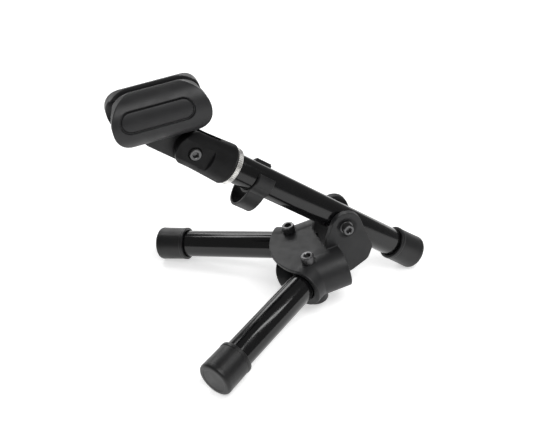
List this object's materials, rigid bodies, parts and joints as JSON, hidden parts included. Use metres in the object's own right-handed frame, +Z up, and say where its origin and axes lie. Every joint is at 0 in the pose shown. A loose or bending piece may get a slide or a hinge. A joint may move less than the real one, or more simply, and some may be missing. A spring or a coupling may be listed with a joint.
{
  "type": "low microphone stand",
  "caption": "Low table microphone stand: moulded hub, folding tube legs with rubber feet, tilting black boom, knuckle and push-in rubber mic clip with a cable clip.",
  "frame": {"origin": "on the floor, under the middle of the bounding box", "axes": "+Z up; -X towards the mic clip and the leg tips; the stand is symmetric about the XZ plane; -Y is the stand's left"},
  "size_m": [0.2314, 0.2018, 0.1959],
  "materials": {
    "moulding": "satin black glass-filled moulding",
    "paint": "gloss black powder coat on steel tube",
    "plastic": "fine matt moulded black",
    "rubber": "semi-matt black rubber",
    "clip_rubber": "satin dark grey rubber",
    "nylon": "satin black nylon",
    "steel": "black oxide",
    "zinc": "bright zinc plate",
    "brass": "turned"
  },
  "bodies": {
    "hub": {"hub_body": "moulding", "leg_screw_left": "steel", "leg_screw_right": "steel", "leg_nut_left": "steel", "leg_nut_right": "steel", "boom_bolt": "steel", "boom_washer": "steel", "boom_nut": "steel"},
    "left_leg": {"leg_tube_left": "paint", "leg_plug_left": "plastic", "leg_cap_left": "rubber"},
    "right_leg": {"leg_tube_right": "paint", "leg_plug_right": "plastic", "leg_cap_right": "rubber"},
    "boom": {"boom_tube": "paint", "boom_cap": "rubber", "boom_sleeve": "steel", "thread_stud": "zinc"},
    "ring": {"lock_ring": "zinc"},
    "cable_holder": {"cable_clip": "nylon"},
    "head": {"knuckle": "plastic", "thread_insert": "brass", "knuckle_screw": "steel", "knuckle_nut": "steel"},
    "clip": {"mic_clip": "clip_rubber"}
  },
  "joints": [
    {"name": "leg_left_fold", "type": "hinge", "parent": "hub", "child": "left_leg", "pos_m": [0.01233, -0.0227, 0.0279], "axis": [0.155, 0, -0.9879], "range_deg": [0, 35]},
    {"name": "leg_right_fold", "type": "hinge", "parent": "hub", "child": "right_leg", "pos_m": [0.01233, 0.0227, 0.0279], "axis": [-0.155, 0, 0.9879], "range_deg": [0, 35]},
    {"name": "boom_tilt", "type": "hinge", "parent": "hub", "child": "boom", "pos_m": [0.04397, 0, 0.05979], "axis": [0, 1, 0], "range_deg": [-25, 45]},
    {"name": "lock_ring_spin", "type": "hinge", "parent": "boom", "child": "ring", "pos_m": [-0.03715, 0, 0.12326], "axis": [-0.7876, 0, 0.6162], "continuous": true},
    {"name": "cable_clip_slide", "type": "slide", "parent": "boom", "child": "cable_holder", "axis": [-0.7876, 0, 0.6162], "range_m": [-0.03, 0.0149]},
    {"name": "head_swivel", "type": "hinge", "parent": "boom", "child": "head", "pos_m": [-0.06314, 0, 0.14359], "axis": [-0.7876, 0, 0.6162], "range_deg": [-180, 180]},
    {"name": "clip_tilt", "type": "hinge", "parent": "head", "child": "clip", "pos_m": [-0.06314, 0, 0.14359], "axis": [0, 1, 0], "range_deg": [-95, 58]}
  ]
}
